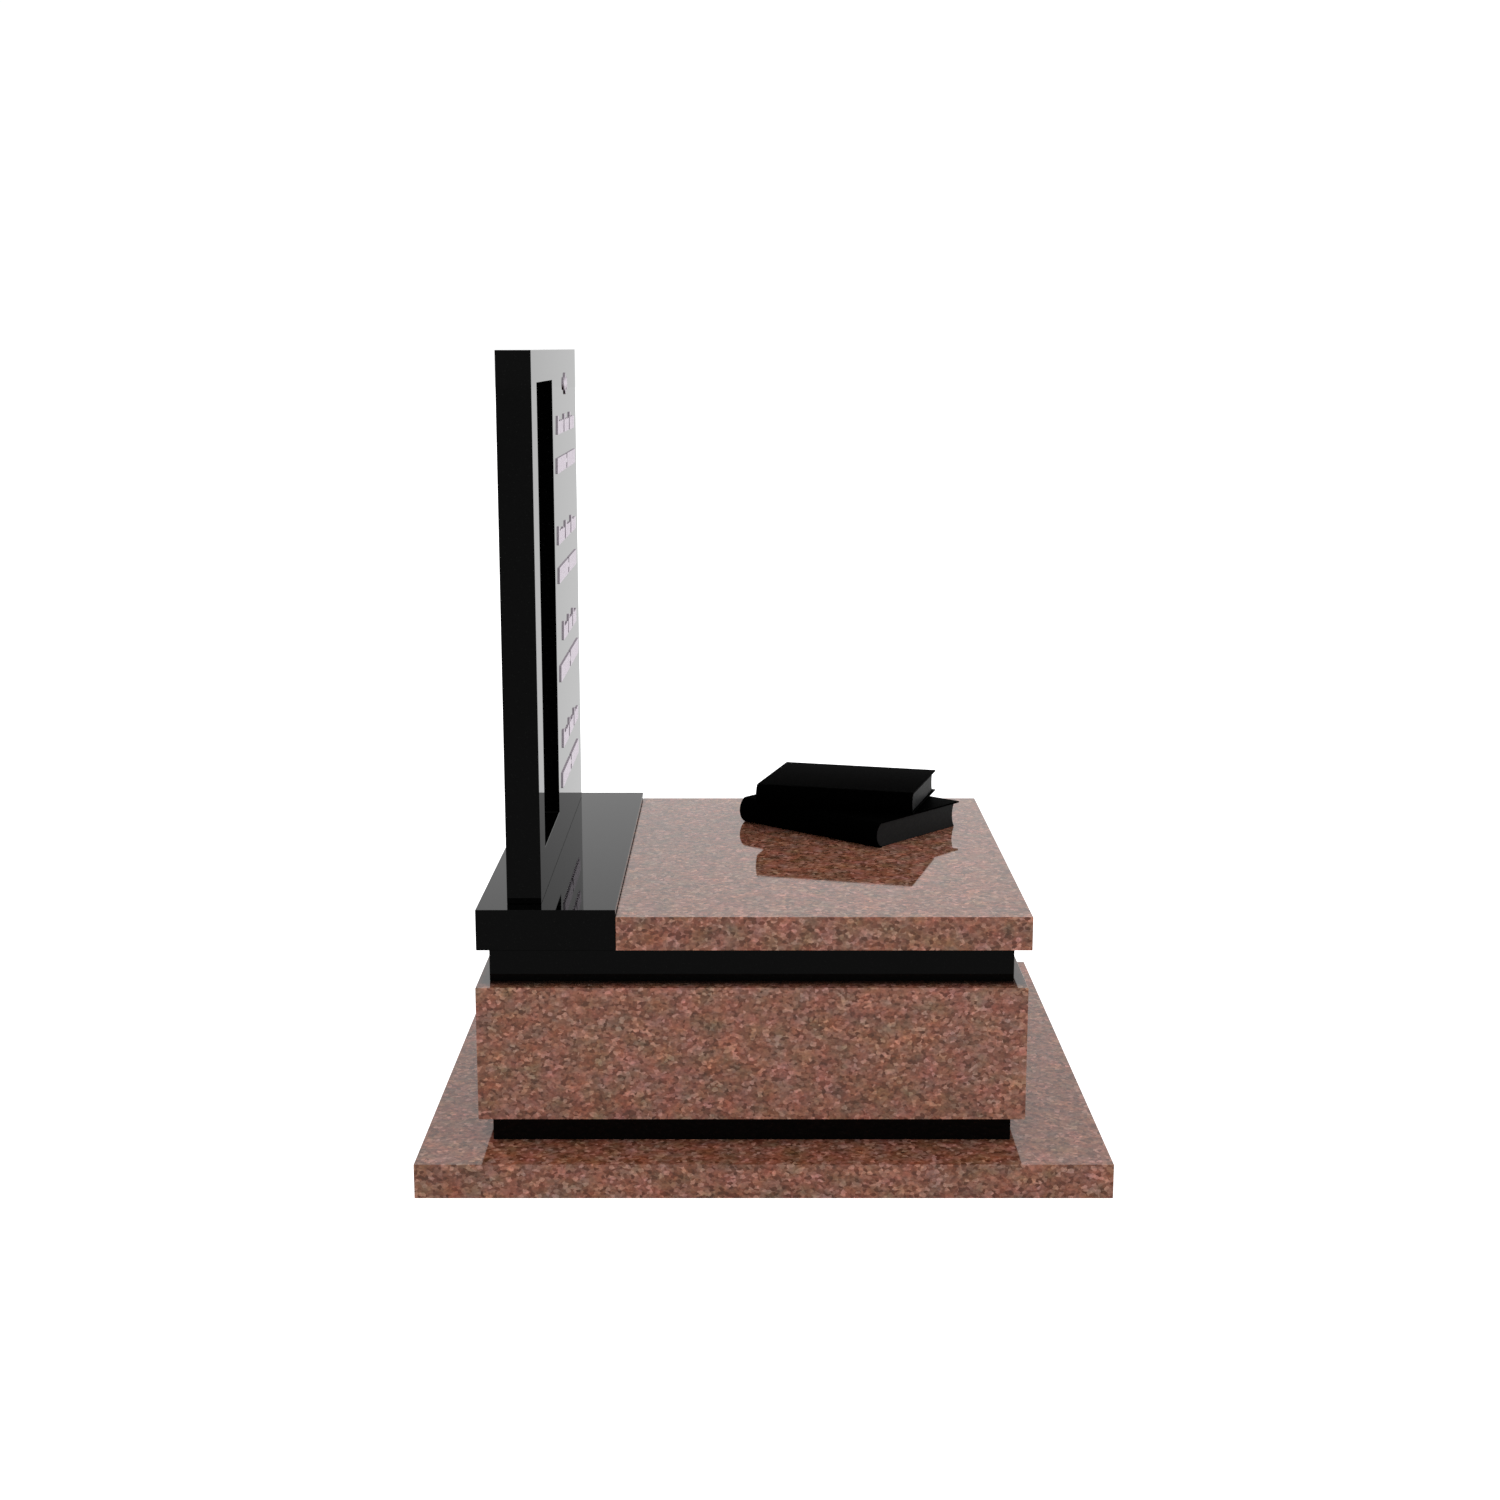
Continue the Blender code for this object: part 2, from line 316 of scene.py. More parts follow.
def ragged_cells(size, shift):
    """Random colours of Voronoi cells of a size in metres, with bent borders."""
    scale = math_node(crystals, "DIVIDE", 1.0, size)
    shifted = vector_node(crystals, "ADD", flattened, (shift, shift, shift))
    bends = add_node(crystals, "ShaderNodeTexNoise", {"Vector": shifted, "Scale": scale, "Detail": 2.0})
    centred = vector_node(crystals, "SUBTRACT", bends.outputs["Color"], (0.5, 0.5, 0.5))
    reach = math_node(crystals, "MULTIPLY", size, given["Raggedness"])
    bent = vector_node(crystals, "ADD", shifted, scaled_vector(crystals, centred, reach))
    cells = add_node(crystals, "ShaderNodeTexVoronoi", {"Vector": bent, "Scale": scale})
    return add_node(crystals, "ShaderNodeSeparateColor", {0: cells.outputs["Color"]}).outputs


large = ragged_cells(given["Crystal Size"], 0.0)
small = ragged_cells(given["Speck Size"], SPECK_SHIFT)
fine_scale = math_node(crystals, "DIVIDE", GRAIN_SCALE, given["Speck Size"])
fine = add_node(crystals, "ShaderNodeTexNoise", {"Vector": flattened, "Scale": fine_scale, "Detail": 3.0})
cloud_scale = math_node(crystals, "DIVIDE", CLOUD_SCALE, given["Crystal Size"])
cloud = add_node(crystals, "ShaderNodeTexNoise", {"Vector": flattened, "Scale": cloud_scale, "Detail": 2.0})
for socket, value in (("Crystal", large[0]), ("Speck", small[0]), ("Grain", fine.outputs[0]),
                      ("Cloud", cloud.outputs["Color"])):
    crystals.links.new(value, result[socket])
print("crystal group with", len(crystals.nodes), "nodes")

# %% [markdown]
# Polish isn't the same everywhere. Hard quartz takes a mirror shine, softer mica stays a touch duller and
# leaves pits too small to see one by one. Faces that will never be seen, such as an underside, are left as
# the saw cuts them. The polish group turns the grain into a roughness and a height for a Bump node. One
# group serves all the stones, with its own values in each material.

# %% Polish group
# How far a face leans down before it counts as sawn, as the height of its normal.
ALL_SAWN = -0.95
NONE_SAWN = -0.75
# Grain below the first value is a pit, and above the second it is level stone.
PIT_GRAIN = 0.25
LEVEL_GRAIN = 0.45

polish, given, result = start_group(
    "stone_polish",
    {"Grain": (FLOAT, 0.5), "Speck": (FLOAT, 0.5), "Shine": (FLOAT, 0.03), "Unevenness": (FLOAT, 0.02),
     "Sawn": (FLOAT, 0.55)},
    {"Roughness": FLOAT, "Height": FLOAT})
facing = add_node(polish, "ShaderNodeNewGeometry").outputs["Normal"]
downward = add_node(polish, "ShaderNodeSeparateXYZ", {0: facing}).outputs["Z"]
sawn = map_range(polish, downward, ALL_SAWN, NONE_SAWN, 1.0, 0.0)
dull = math_node(polish, "MULTIPLY_ADD", given["Speck"], given["Unevenness"], given["Shine"])
pits = map_range(polish, given["Grain"], PIT_GRAIN, LEVEL_GRAIN, 0.0, 1.0, smooth=True)
polish.links.new(mix_values(polish, sawn, dull, given["Sawn"]), result["Roughness"])
polish.links.new(pits, result["Height"])
print("polish group with", len(polish.nodes), "nodes")

# %% [markdown]
# The cover slab hangs over the ledge on top of the chest, and that ledge is made darker towards the plinth
# that stands on it. What darkens it is a guess: it may be dust that rain never washes off, but shade or a
# mirror image is as likely. This is painted shade: the shadow of the cover's overhang is painted into the
# chest's colour, so it stays dark in any light. It could be painted by hand, but the foot of the plinth
# already says where the line runs. The group measures how far a point lies outside that foot, at the height
# of the ledge and nowhere above it.

# %% Painted overhang shade group
# Height above the ledge up to which stone still counts as ledge.
LEDGE_DEPTH = 0.001

# Painted shade: a mask that is 1 at the plinth's foot on the ledge and fades outwards, where the cover
# casts its shadow.
overhang_shade_group, given, result = start_group(
    "overhang_painted_shade",
    {"Vector": (VECTOR, None), "Foot Middle": (VECTOR, (0.0, 0.0, 0.0)),
     "Foot Half": (VECTOR, (0.1, 0.1, 0.0)), "Dark To": (FLOAT, 0.008), "Fades At": (FLOAT, 0.036)},
    {"Painted Shade": FLOAT})
from_middle = vector_node(overhang_shade_group, "SUBTRACT", given["Vector"], given["Foot Middle"])
to_sides = vector_node(overhang_shade_group, "ABSOLUTE", from_middle)
outside_foot = vector_node(overhang_shade_group, "SUBTRACT", to_sides, given["Foot Half"])
along = add_node(overhang_shade_group, "ShaderNodeSeparateXYZ", {0: outside_foot}).outputs
distance = math_node(overhang_shade_group, "MAXIMUM", along["X"], along["Y"])
fading = add_node(overhang_shade_group, "ShaderNodeMapRange", {0: distance, 1: given["Dark To"], 2: given["Fades At"],
                                                  3: 1.0, 4: 0.0})
on_ledge = math_node(overhang_shade_group, "LESS_THAN", along["Z"], LEDGE_DEPTH)
overhang_shade_group.links.new(math_node(overhang_shade_group, "MULTIPLY", fading.outputs[0], on_ledge), result["Painted Shade"])
print("dust group with", len(overhang_shade_group.nodes), "nodes")

# %% [markdown]
# The plate, the chest and the cover slab are red granite. Its colour is a palette of crystals, each with
# its share of the stone. The palette is written as the colours that the eye sees, which are then turned
# into how much light the stone gives back, because a render works with light. One mixed brown would be
# shorter, but it would look like clay.

# %% Crystals of the red granite
def stone_colour(red, green, blue, light):
    """How much light a stone gives back, from the colour seen (0 to 255) and the light that falls on it."""
    seen_light = []
    for value in (red, green, blue):
        share = value / 255
        linear = share / 12.92 if share <= 0.04045 else ((share + 0.055) / 1.055) ** 2.4
        seen_light.append(linear / light)
    return tuple(seen_light)


# Brightness of the light on the memorial's near side, fitted by comparing renders with the picture.
RED_LIGHT = 0.62
RED_CRYSTALS = [
    ("dark mica", 0.13, (90, 52, 37)),
    ("brown feldspar", 0.22, (108, 66, 50)),
    ("pink feldspar", 0.30, (121, 79, 62)),
    ("salmon feldspar", 0.23, (134, 92, 76)),
    ("pale feldspar", 0.12, (154, 111, 95)),
]


def palette_bands(palette, light):
    """Places on a colour ramp for a palette of (name, share, seen colour)."""
    bands = []
    place = 0.0
    for _, share, seen_colour in palette:
        bands.append((place, stone_colour(*seen_colour, light)))
        place += share
    return bands


red_bands = palette_bands(RED_CRYSTALS, RED_LIGHT)
for (crystal_name, share, _), (_, given_back) in zip(RED_CRYSTALS, red_bands):
    print(crystal_name, "fills", share, "and gives back", [round(value, 3) for value in given_back])

# %% [markdown]
# Every stone is shaded in the same three steps: crystals for its colour, polish for its shine and pits, and
# painted shade where something overhangs it. A material for each stone could hold all the nodes, but groups
# keep the materials small, so here three helpers place the groups and set their values. Each stone is cut
# from its own place in the rock, so that no two show the same crystals.

# %% Stone shaders
# What the painted shade leaves of the stone's colour where it is darkest.
SHADE_LEAVES = 0.05
PIT_DEPTH = 0.0001


def block_place(step, number):
    """Where in the rock a numbered stone is cut."""
    return tuple(value * number for value in step)


def stone_texture(tree, block, crystal_size, speck_size, raggedness):
    """The crystal group, placed in a material on the object's own coordinates."""
    where = add_node(tree, "ShaderNodeTexCoord").outputs["Object"]
    made = tree.nodes.new("ShaderNodeGroup")
    made.node_tree = crystals
    tree.links.new(where, made.inputs["Vector"])
    for socket, value in (("Block", block), ("Crystal Size", crystal_size), ("Speck Size", speck_size),
                          ("Raggedness", raggedness)):
        made.inputs[socket].default_value = value
    return made.outputs


def stone_finish(tree, shader, texture, shine, unevenness, sawn, relief):
    """The polish group on a shader: roughness, and pits through a Bump node."""
    made = tree.nodes.new("ShaderNodeGroup")
    made.node_tree = polish
    tree.links.new(texture["Grain"], made.inputs["Grain"])
    tree.links.new(texture["Speck"], made.inputs["Speck"])
    for socket, value in (("Shine", shine), ("Unevenness", unevenness), ("Sawn", sawn)):
        made.inputs[socket].default_value = value
    tree.links.new(made.outputs["Roughness"], shader.inputs["Roughness"])
    bump = add_node(tree, "ShaderNodeBump", {"Height": made.outputs["Height"], "Strength": relief,
                                             "Distance": PIT_DEPTH})
    tree.links.new(bump.outputs["Normal"], shader.inputs["Normal"])


def with_painted_shade(tree, colour, stander):
    """The colour darkened by painted shade round the foot of the stone that stands on this one."""
    low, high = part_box(stander)
    middle = (low + high) / 2
    made = tree.nodes.new("ShaderNodeGroup")
    made.node_tree = overhang_shade_group
    tree.links.new(add_node(tree, "ShaderNodeTexCoord").outputs["Object"], made.inputs["Vector"])
    made.inputs["Foot Middle"].default_value = (middle.x, middle.y, low.z)
    made.inputs["Foot Half"].default_value = ((high.x - low.x) / 2, (high.y - low.y) / 2, 0.0)
    # Painted shade: the colour is darkened towards the foot of the stone above.
    left = map_range(tree, made.outputs["Painted Shade"], 0.0, 1.0, 1.0, SHADE_LEAVES)
    return scaled_vector(tree, colour, left)


def dress(node, material):
    """Gives a stone of the frame its finish, in the slots it already has."""
    for slot in nodes[node].material_slots:
        slot.material = material
    print(node, "is", material.name)


print("pits are up to", PIT_DEPTH * 1000, "mm deep")

# %% [markdown]
# The red granite puts it all together. The palette gives each crystal its colour, specks and grain lighten
# and darken it, and the clouds lean it towards brown or pink. The chest has painted shade round the foot of
# the upper plinth, where the cover hangs over its ledge. The plate and the cover slab have none.

# %% Red granite
RED_IOR = 1.50
# How strongly the clouds change the red, green and blue of the crystals.
CLOUD_TINT = Vector((1.05, 0.15, 0.80))
CLOUD_BASE = Vector((1.0, 1.0, 1.0)) - CLOUD_TINT / 2
# How far the specks and the grain lighten and darken the crystals.
LEAST_TONE = 0.80
MOST_TONE = 1.20
# Each stone, and the stone round whose foot shade is painted on it.
RED_STONES = (("base_plate", None), ("chest", "upper_plinth"), ("cover_slab", None))
RED_BLOCK_STEP = (1.7, 0.9, 0.0)


def red_granite(name, block, stander=None):
    """Polished red granite from one block, with painted shade round the foot of a stone that stands on it.
    """
    material, tree, shader = start_material(name, IOR=RED_IOR)
    texture = stone_texture(tree, block, crystal_size=0.0064, speck_size=0.0038, raggedness=0.9)
    crystal_colour = colour_bands(tree, texture["Crystal"], red_bands)
    speck = map_range(tree, texture["Speck"], 0.0, 1.0, LEAST_TONE, MOST_TONE)
    grain = map_range(tree, texture["Grain"], NOISE_LOW, NOISE_HIGH, LEAST_TONE, MOST_TONE)
    tone = math_node(tree, "MULTIPLY", speck, grain)
    tint = add_node(tree, "ShaderNodeVectorMath", {0: texture["Cloud"], 1: CLOUD_TINT, 2: CLOUD_BASE},
                    operation="MULTIPLY_ADD").outputs[0]
    colour = mix_colours(tree, 1.0, crystal_colour, scaled_vector(tree, tint, tone), "MULTIPLY")
    # The chest's ledge gets painted shade for the cover's overhang.
    if stander:
        colour = with_painted_shade(tree, colour, stander)
    tree.links.new(colour, shader.inputs["Base Color"])
    stone_finish(tree, shader, texture, shine=0.03, unevenness=0.02, sawn=0.55, relief=0.04)
    return material


for number, (stone, stander) in enumerate(RED_STONES):
    block = block_place(RED_BLOCK_STEP, number)
    dress(stone, red_granite("red_granite_" + stone, block, stander))

# %% [markdown]
# The courses, the header block and the headstone are a fine black granite. Its crystals are so dark that
# the polish hides them, and only a few specks of mica catch the light. A plain black would do from afar,
# but close up it looks like plastic. Real polished granite mirrors about as much as glass, with an IOR near
# 1.5. The IOR and the greys here are lower, because they were fitted to the picture that this memorial
# follows: seen straight on the stone mirrors about one hundredth of the light, and at a low angle half.

# %% Black granite
BLACK_IOR = 1.19
FINE_STONE = {"crystal_size": 0.0035, "speck_size": 0.0016, "raggedness": 0.8}
MICA = (0.006, 0.006, 0.006, 1.0)
# Only the specks above this show as mica.
MICA_FROM = 0.97
# Places on the ramp and the light given back.
BLACK_GREYS = ((0.0, 0.0002), (0.6, 0.0004), (0.9, 0.0007))
BLACK_STONES = ("lower_plinth", "upper_plinth", "header_block", "headstone")
BLACK_BLOCK_STEP = (0.6, 0.0, 1.1)


def grey_bands(tree, texture, greys):
    """Crystals of a fine stone in plain greys."""
    return colour_bands(tree, texture["Crystal"], [(place, (light,) * 3) for place, light in greys])


def black_granite(name, block):
    """Polished black granite from one block."""
    material, tree, shader = start_material(name, IOR=BLACK_IOR)
    texture = stone_texture(tree, block, **FINE_STONE)
    ground = grey_bands(tree, texture, BLACK_GREYS)
    mica = map_range(tree, texture["Speck"], MICA_FROM, 1.0, 0.0, 1.0)
    tree.links.new(mix_colours(tree, mica, ground, MICA), shader.inputs["Base Color"])
    stone_finish(tree, shader, texture, shine=0.02, unevenness=0.02, sawn=0.55, relief=0.02)
    return material


for number, stone in enumerate(BLACK_STONES):
    dress(stone, black_granite("black_granite_" + stone, block_place(BLACK_BLOCK_STEP, number)))

# %% [markdown]
# The two books are carved from black granite, each in one piece. The mason leaves the covers honed to a
# dead black and rubs the page ends to a dark grey satin, so that the pages read as pages. The frame's books
# have one finish only, so here they are made again with two, at the frame's own size and place. Both
# finishes use the crystal and polish groups. Their IOR is fitted to the picture too. The covers' is close
# to 1, which takes off nearly all shine, more than honing does to a real stone.

# %% Book finishes
COVER_IOR = 1.02
PAGE_IOR = 1.2
COVER_BLOCK = (5.0, 2.0, 0.0)
PAGE_BLOCK = (7.0, 4.0, 0.0)
COVER_GREYS = ((0.0, 0.0003), (0.6, 0.0007))
PAGE_COLOURS = ((0.0, (0.0130, 0.0140, 0.0142)), (0.5, (0.0162, 0.0172, 0.0174)))


def honed_cover(name):
    """Dead black, honed stone of the covers."""
    material, tree, shader = start_material(name, IOR=COVER_IOR)
    texture = stone_texture(tree, COVER_BLOCK, **FINE_STONE)
    tree.links.new(grey_bands(tree, texture, COVER_GREYS), shader.inputs["Base Color"])
    stone_finish(tree, shader, texture, shine=0.40, unevenness=0.10, sawn=0.60, relief=0.05)
    return material


def rubbed_pages(name):
    """Dark grey satin stone of the page ends."""
    material, tree, shader = start_material(name, IOR=PAGE_IOR)
    texture = stone_texture(tree, PAGE_BLOCK, **FINE_STONE)
    colour = colour_bands(tree, texture["Crystal"], PAGE_COLOURS)
    tree.links.new(colour, shader.inputs["Base Color"])
    stone_finish(tree, shader, texture, shine=0.50, unevenness=0.10, sawn=0.60, relief=0.05)
    return material


cover_black = honed_cover("honed_cover")
page_grey = rubbed_pages("rubbed_pages")
print("book finishes:", cover_black.name, page_grey.name)

# %% [markdown]
# A book could be a box with bevels, but its look lies in its outline seen from the tail: thin boards, a
# round spine, and a fore edge that is as hollow as the spine is round. The outline is worked out from a few
# sizes, with true arcs for the round stretches. The case and the pages have one outline each.

# %% Book outlines
BOARD = 0.0025
# How far the pages run into the boards and the spine, so that nothing stays open between them.
PAGES_INTO_CASE = BOARD * 0.5
# How far the boards stand out past the pages, at the ends and at the fore edge.
END_LIP = 0.004
FORE_LIP = 0.008
# Depth of the hollow fore edge.
HOLLOW = 0.006
ARC_STEPS = 28


def bow(start, end, rise):
    """Points on a circular arc from start to end, which bulges by rise to the left of the way."""
    start, end = Vector(start), Vector(end)
    along = (end - start).normalized()
    left = Vector((-along.y, along.x))
    half = (end - start).length / 2
    radius = (half * half + rise * rise) / (2 * abs(rise))
    side = math.copysign(1.0, rise)
    centre = (start + end) / 2 - left * side * (radius - abs(rise))
    span = math.asin(min(1.0, half / radius))
    points = []
    for step in range(ARC_STEPS + 1):
        turn = span * (2 * step / ARC_STEPS - 1)
        points.append(centre + left * side * radius * math.cos(turn) + along * radius * math.sin(turn))
    return points


def case_outline(back, fore, foot_fore, thickness, rise):
    """Top board, rounded spine and foot board, seen from the tail."""
    outer = bow((back, 0.0), (back, thickness), rise)
    inner = bow((back, BOARD), (back, thickness - BOARD), rise - BOARD)
    outside = [(foot_fore, 0.0)] + outer + [(fore, thickness)]
    inside = [(fore, thickness - BOARD)] + inner[::-1] + [(foot_fore, BOARD)]
    return outside + inside


def pages_outline(back, fore, low, thickness, rise):
    """The page block, which runs a little into the case and is hollow at the fore edge."""
    high = thickness - PAGES_INTO_CASE
    spine = bow((back, low), (back, high), rise - PAGES_INTO_CASE)
    hollow = bow((fore, high), (fore, low), -HOLLOW)
    return spine + hollow


print("a round stretch has", ARC_STEPS + 1, "points")

# %% [markdown]
# A flat outline becomes a solid when it is drawn as a closed 2D curve, which Blender fills and extrudes.
# The caps of such a curve are loose, so a Weld modifier sews them on. Extruding faces of a mesh would do as
# well, but the curve can also round its rim, which the raised metal further on needs.

# %% Solids from outlines
WELD_DISTANCE = 0.00001
# Stands a flat outline up: its depth runs along X, its width along Y and its height along Z.
STAND_UP = Matrix(((0, 0, 1, 0), (1, 0, 0, 0), (0, 1, 0, 0), (0, 0, 0, 1)))


def evaluated_mesh(thing):
    """The mesh that an object's curve or modifiers make."""
    return bpy.data.meshes.new_from_object(thing.evaluated_get(bpy.context.evaluated_depsgraph_get()))


def settle(thing):
    """Replaces a mesh by what its modifiers make of it."""
    mesh = evaluated_mesh(thing)
    thing.modifiers.clear()
    thing.data = mesh


def filled_outlines(name, outlines, half_depth, rim=0.0):
    """A mesh of closed flat outlines, extruded both ways, with a rounded rim if one is asked for."""
    curve = bpy.data.curves.new(name, "CURVE")
    curve.dimensions = "2D"
    curve.fill_mode = "BOTH"
    curve.extrude = half_depth
    curve.bevel_depth = rim
    curve.bevel_resolution = 1
    curve.offset = -rim
    for outline in outlines:
        spline = curve.splines.new("POLY")
        spline.points.add(len(outline) - 1)
        for corner, (across, up) in zip(spline.points, outline):
            corner.co = (across, up, 0.0, 1.0)
        spline.use_cyclic_u = True
    drawn = bpy.data.objects.new(name, curve)
    bpy.context.scene.collection.objects.link(drawn)
    mesh = evaluated_mesh(drawn)
    bpy.data.objects.remove(drawn, do_unlink=True)
    return mesh


def welded_piece(name, mesh, material):
    """An object from such a mesh, in one material and with its caps sewn on."""
    mesh.materials.clear()
    mesh.materials.append(material)
    piece = bpy.data.objects.new(name, mesh)
    bpy.context.scene.collection.objects.link(piece)
    weld = piece.modifiers.new("weld", "WELD")
    weld.merge_threshold = WELD_DISTANCE
    settle(piece)
    return piece


def stretched_outline(name, outline, length, material):
    """An outline (across, up) stretched along X, as a mesh object."""
    mesh = filled_outlines(name, [outline], length / 2)
    mesh.transform(STAND_UP)
    return welded_piece(name, mesh, material)


print("outlines are welded within", WELD_DISTANCE * 1000, "mm")

# %% [markdown]
# Each book is measured in the frame along its own axes, so it keeps its size, place and turn. The outlines
# are stretched along the spine, and a Boolean joins pages and case into one stone.

# %% Carve a book
# Each book's turn about Z, how far its spine bulges, and whether it has a foot board.
BOOKS = {
    "lower_book": {"turn": math.radians(-131.4), "rise": 0.013, "foot_board": False},
    "upper_book": {"turn": math.radians(-105.6), "rise": 0.009, "foot_board": True},
}
# Without a foot board the case ends in a narrow foot at the spine, and the pages stop just above its
# underside.
SPINE_FOOT = 0.003
PAGES_CLEAR = 0.0002
BOOK_ARRIS = 0.0004
# Edges sharper than this get an arris and stay crisp.
ROUND_ANGLE = math.radians(30)


def measure_book(node, turn):
    """Middle of the foot, and lowest and highest corner along the book's own axes, from the frame."""
    low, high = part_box(node)
    middle = Vector(((low.x + high.x) / 2, (low.y + high.y) / 2, low.z))
    unturn = Matrix.Rotation(-turn, 3, "Z")
    corners = [unturn @ (vertex.co - middle) for vertex in nodes[node].data.vertices]
    own_low = Vector([min(corner[axis] for corner in corners) for axis in range(3)])
    own_high = Vector([max(corner[axis] for corner in corners) for axis in range(3)])
    return middle, own_low, own_high


def carve_book(node, turn, rise, foot_board):
    """The book's case and pages as one piece, in place of the frame's book."""
    middle, low, high = measure_book(node, turn)
    length = high.x - low.x
    back = low.y + rise
    fore = high.y
    foot_fore = fore if foot_board else back + SPINE_FOOT
    pages_low = PAGES_INTO_CASE if foot_board else PAGES_CLEAR
    case = stretched_outline(node + "_carved", case_outline(back, fore, foot_fore, high.z, rise),
                             length, cover_black)
    pages = stretched_outline(node + "_pages",
                              pages_outline(back, fore - FORE_LIP, pages_low, high.z, rise),
                              length - 2 * END_LIP, page_grey)
    join = case.modifiers.new("pages", "BOOLEAN")
    join.operation = "UNION"
    join.solver = "EXACT"
    join.material_mode = "TRANSFER"
    join.object = pages
    arris = case.modifiers.new("arris", "BEVEL")
    arris.width = BOOK_ARRIS
    arris.segments = 1
    arris.limit_method = "ANGLE"
    arris.angle_limit = ROUND_ANGLE
    settle(case)
    bpy.data.objects.remove(pages, do_unlink=True)
    case.data.transform(Matrix.Translation(Vector(((low.x + high.x) / 2, 0.0, 0.0))))
    case.location = middle
    case.rotation_euler = (0.0, 0.0, turn)
    case.data.shade_smooth()
    case.data.set_sharp_from_angle(angle=ROUND_ANGLE)
    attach(case, "root")
    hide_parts(node)
    print(node, "is", round(length * 1000), "mm long and has", len(case.data.polygons), "faces")


for book_name, facts in BOOKS.items():
    carve_book(book_name, **facts)

# %% [markdown]
# The inscription is raised metal, a light silver with a pink cast, brushed to a satin. A Principled shader
# with its Metallic at 1 takes its mirror colour from Base Color. The brush marks are a noise that is
# squeezed hard along one axis, so that it draws out into streaks, and it also varies the roughness.

# %% Metal of the strokes
# Streaks in one metre along each axis.
BRUSH_MARKS = (60.0, 60.0, 900.0)
METAL_DARK = (0.54, 0.48, 0.54)
METAL_LIGHT = (0.64, 0.57, 0.64)
METAL_EDGE = (1.0, 0.95, 1.0, 1.0)
METAL_ROUGHNESS = (0.16, 0.26)


def satin_metal(name):
    """Light silver with a pink cast, brushed to a satin."""
    material, tree, shader = start_material(name, Metallic=1.0, Specular_Tint=METAL_EDGE)
    where = add_node(tree, "ShaderNodeTexCoord").outputs["Object"]
    brushed = vector_node(tree, "MULTIPLY", where, BRUSH_MARKS)
    noise = add_node(tree, "ShaderNodeTexNoise", {"Vector": brushed, "Scale": 1.0, "Detail": 2.0})
    streaks = noise.outputs[0]
    colour = colour_bands(tree, streaks, [(NOISE_LOW, METAL_DARK), (NOISE_HIGH, METAL_LIGHT)], "LINEAR")
    roughness = map_range(tree, streaks, NOISE_LOW, NOISE_HIGH, *METAL_ROUGHNESS)
    tree.links.new(colour, shader.inputs["Base Color"])
    tree.links.new(roughness, shader.inputs["Roughness"])
    return material


metal = satin_metal("satin_metal")
print("metal of the strokes:", metal.name)

# %% [markdown]
# The bars stand out from the stone by two millimetres. No words are wanted here, so they are leaning
# strokes that aren't letters. Blender's text object would need letters, so each stroke is an outline in a
# flat curve, which the curve itself thickens and rounds at the rim. The front of a bar has to stay flat,
# because a bent front would mirror odd shapes that look like signs.

# %% Strokes of metal
# How far the metal stands out from the stone, how far it sinks in, and how far its rim is rounded.
METAL_HEIGHT = 0.0020
METAL_SINK = 0.0002
METAL_RIM = 0.0001
# How far a stroke leans across for each metre up.
STROKE_LEAN = 0.22
CORNER_RADIUS = 0.0012
CORNER_STEPS = 3
# Edges sharper than this stay crisp, so that the rim doesn't bend the shading of the flat front.
CRISP_ANGLE = math.radians(15)

stone_low, stone_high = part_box("headstone")
face_y = stone_low.y


def stroke_outline(left, foot, width, height):
    """A leaning bar with square ends and softened corners."""
    right_x = left + width - CORNER_RADIUS
    left_x = left + CORNER_RADIUS
    high_z = foot + height - CORNER_RADIUS
    low_z = foot + CORNER_RADIUS
    corners = ((right_x, high_z), (left_x, high_z), (left_x, low_z), (right_x, low_z))
    points = []
    for quarter, (centre_x, centre_z) in enumerate(corners):
        for step in range(CORNER_STEPS + 1):
            turn = (quarter + step / CORNER_STEPS) * math.pi / 2
            x = centre_x + CORNER_RADIUS * math.cos(turn)
            z = centre_z + CORNER_RADIUS * math.sin(turn)
            points.append((x + (z - foot) * STROKE_LEAN, z))
    return points


def raised_metal(name, outlines):
    """Closed outlines (x, z) on the headstone's face, raised as metal with a rounded rim."""
    half_depth = (METAL_HEIGHT + METAL_SINK) / 2 - METAL_RIM
    piece = welded_piece(name, filled_outlines(name, outlines, half_depth, METAL_RIM), metal)
    piece.location = (0.0, face_y - (METAL_HEIGHT - METAL_SINK) / 2, 0.0)
    piece.rotation_euler = (math.pi / 2, 0.0, 0.0)
    piece.data.shade_smooth()
    piece.data.set_sharp_from_angle(angle=CRISP_ANGLE)
    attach(piece, "root")
    return piece


print("metal on the face at y", round(face_y, 4), "m stands out by", METAL_HEIGHT * 1000, "mm")

# %% [markdown]
# Rows of names start each word with a taller stroke, rows of dates are even and have one short dash. Copies
# from an Array modifier would all be alike, so a loop draws the strokes of a row one by one. random.Random
# with a fixed seed varies the names' lower strokes in the same way on each run.

# %% Rows of strokes
# Distance from one stroke to the next in a row of dates, before it is rounded to fill the row.
STROKE_PITCH = 0.0145
# Share of the pitch that a stroke fills.
STROKE_SHARE = 0.84
# Height of a name's lower strokes against its first one, and how much it varies.
NAME_LOW = 0.72
NAME_SPREAD = 0.05
NAME_SEED = 7
WORD_STROKES = (7, 6, 6)
# Foot, height and width of the dash against the row's height and pitch.
DASH_FOOT = 0.4
DASH_HEIGHT = 0.3
DASH_WIDTH = 0.8
# The rows stand in the field between the window and the stone's far edge. Its middle lies this far from
# the stone's own.
FIELD_SHIFT = 0.155
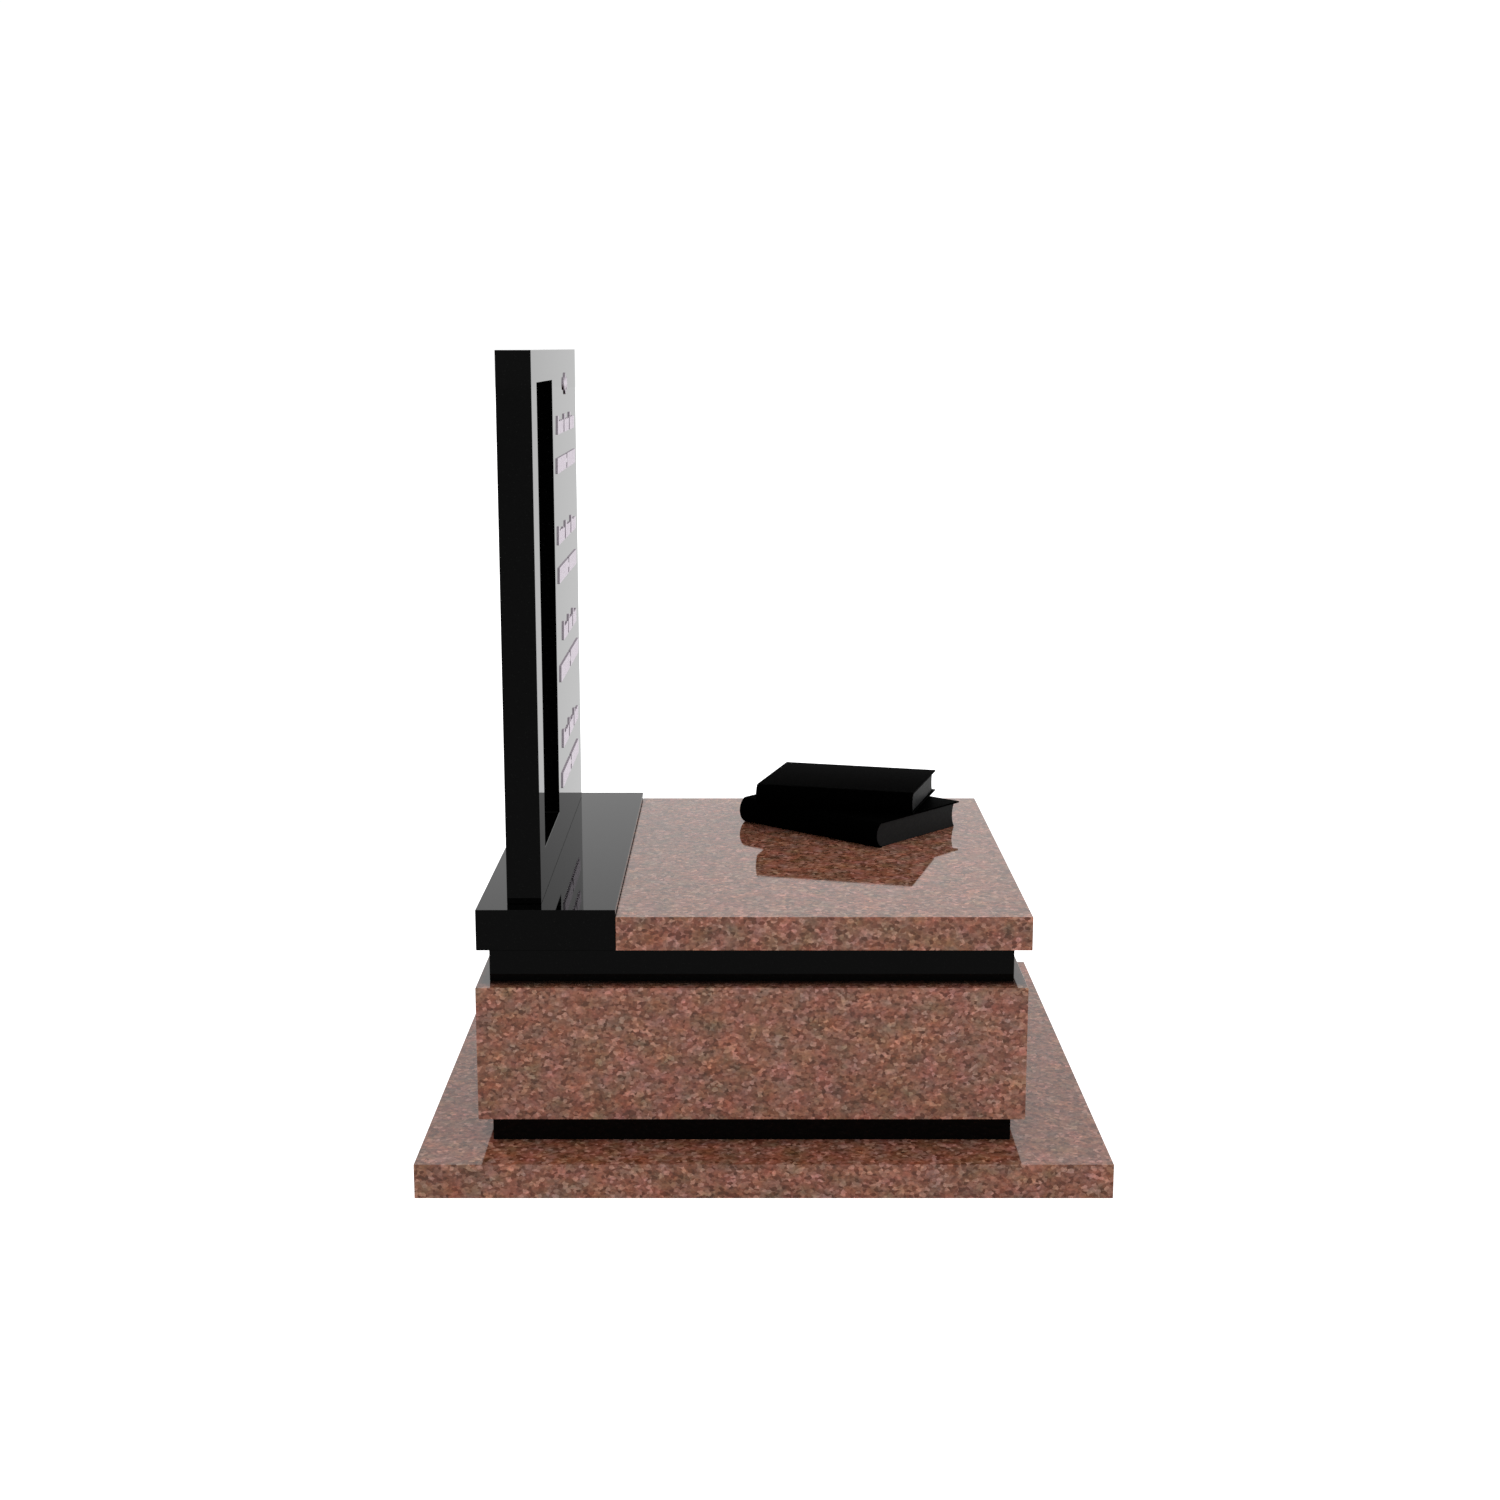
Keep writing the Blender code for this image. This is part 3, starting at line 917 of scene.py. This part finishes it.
# Each row: kind, left end and right end (from the field's middle), foot (up from the stone's own foot) and
# height.
ROWS = [
    ("name", -0.150, 0.152, 0.6605, 0.029),
    ("date", -0.165, 0.166, 0.600, 0.024),
    ("name", -0.166, 0.157, 0.488, 0.029),
    ("date", -0.164, 0.158, 0.4265, 0.025),
    ("name", -0.107, 0.138, 0.3285, 0.030),
    ("date", -0.164, 0.170, 0.2685, 0.026),
    ("name", -0.1405, 0.1465, 0.157, 0.029),
    ("date", -0.165, 0.142, 0.0955, 0.024),
]

field_middle = (stone_low.x + stone_high.x) / 2 + FIELD_SHIFT
chance = random.Random(NAME_SEED)


def name_row(left, right, foot, height):
    """Three words, each started by a taller stroke."""
    outlines = []
    total = sum(WORD_STROKES) + len(WORD_STROKES) - 1
    pitch = (right - left) / total
    place = left
    for count in WORD_STROKES:
        for number in range(count):
            tall = number == 0
            share = 1.0 if tall else chance.uniform(NAME_LOW - NAME_SPREAD, NAME_LOW + NAME_SPREAD)
            outlines.append(stroke_outline(place, foot, pitch * STROKE_SHARE, height * share))
            place += pitch
        place += pitch
    return outlines


def date_row(left, right, foot, height):
    """Even strokes with a short dash in the middle."""
    count = round((right - left) / STROKE_PITCH)
    pitch = (right - left) / count
    middle = count // 2
    outlines = []
    for number in range(count):
        place = left + number * pitch
        if number == middle:
            dash_foot = foot + height * DASH_FOOT
            outlines.append(stroke_outline(place, dash_foot, pitch * DASH_WIDTH, height * DASH_HEIGHT))
        else:
            outlines.append(stroke_outline(place, foot, pitch * STROKE_SHARE, height))
    return outlines


row_makers = {"name": name_row, "date": date_row}
for number, (kind, left, right, foot, height) in enumerate(ROWS, start=1):
    outlines = row_makers[kind](field_middle + left, field_middle + right, stone_low.z + foot, height)
    row = raised_metal("inscription_row_" + str(number), outlines)
    print(row.name, "has", len(outlines), "strokes")

# %% [markdown]
# A small ornament stands above the first row. A plain lozenge between two leaf shapes fills the place. It
# is drawn and raised just as the strokes are.

# %% Ornament
# Its middle, from the field's middle and the stone's foot.
ORNAMENT_MIDDLE = (-0.002, 0.7375)
LOZENGE_HALF_HEIGHT = 0.0175
LOZENGE_HALF_WIDTH = 0.0122
LEAF_LENGTH = 0.017
LEAF_HALF_HEIGHT = 0.0105
# Space between the middle and a leaf's root.
LEAF_ROOT = 0.014
LEAF_FULLNESS = 0.8
LEAF_STEPS = 10


def leaf(tip_x, root_x, middle_z, half_height):
    """A pointed leaf between two tips."""
    upper, lower = [], []
    for step in range(LEAF_STEPS + 1):
        share = step / LEAF_STEPS
        x = root_x + (tip_x - root_x) * share
        swell = math.sin(math.pi * share) ** LEAF_FULLNESS * half_height
        upper.append((x, middle_z + swell))
        lower.append((x, middle_z - swell))
    return upper + lower[-2:0:-1]


middle_x = field_middle + ORNAMENT_MIDDLE[0]
middle_z = stone_low.z + ORNAMENT_MIDDLE[1]
lozenge = [(middle_x - LOZENGE_HALF_WIDTH, middle_z), (middle_x, middle_z - LOZENGE_HALF_HEIGHT),
           (middle_x + LOZENGE_HALF_WIDTH, middle_z), (middle_x, middle_z + LOZENGE_HALF_HEIGHT)]
leaf_tip = LEAF_ROOT + LEAF_LENGTH
leaves = [leaf(middle_x + side * leaf_tip, middle_x + side * LEAF_ROOT, middle_z, LEAF_HALF_HEIGHT)
          for side in (-1, 1)]
raised_metal("ornament", [lozenge] + leaves)
print("ornament at", round(middle_x, 3), round(middle_z, 3))

# %% [markdown]
# The frame's box is printed at the end of each run.

# %% Sizes and finish
print("frame", [round(value, 4) for corner in cad_box for value in corner])
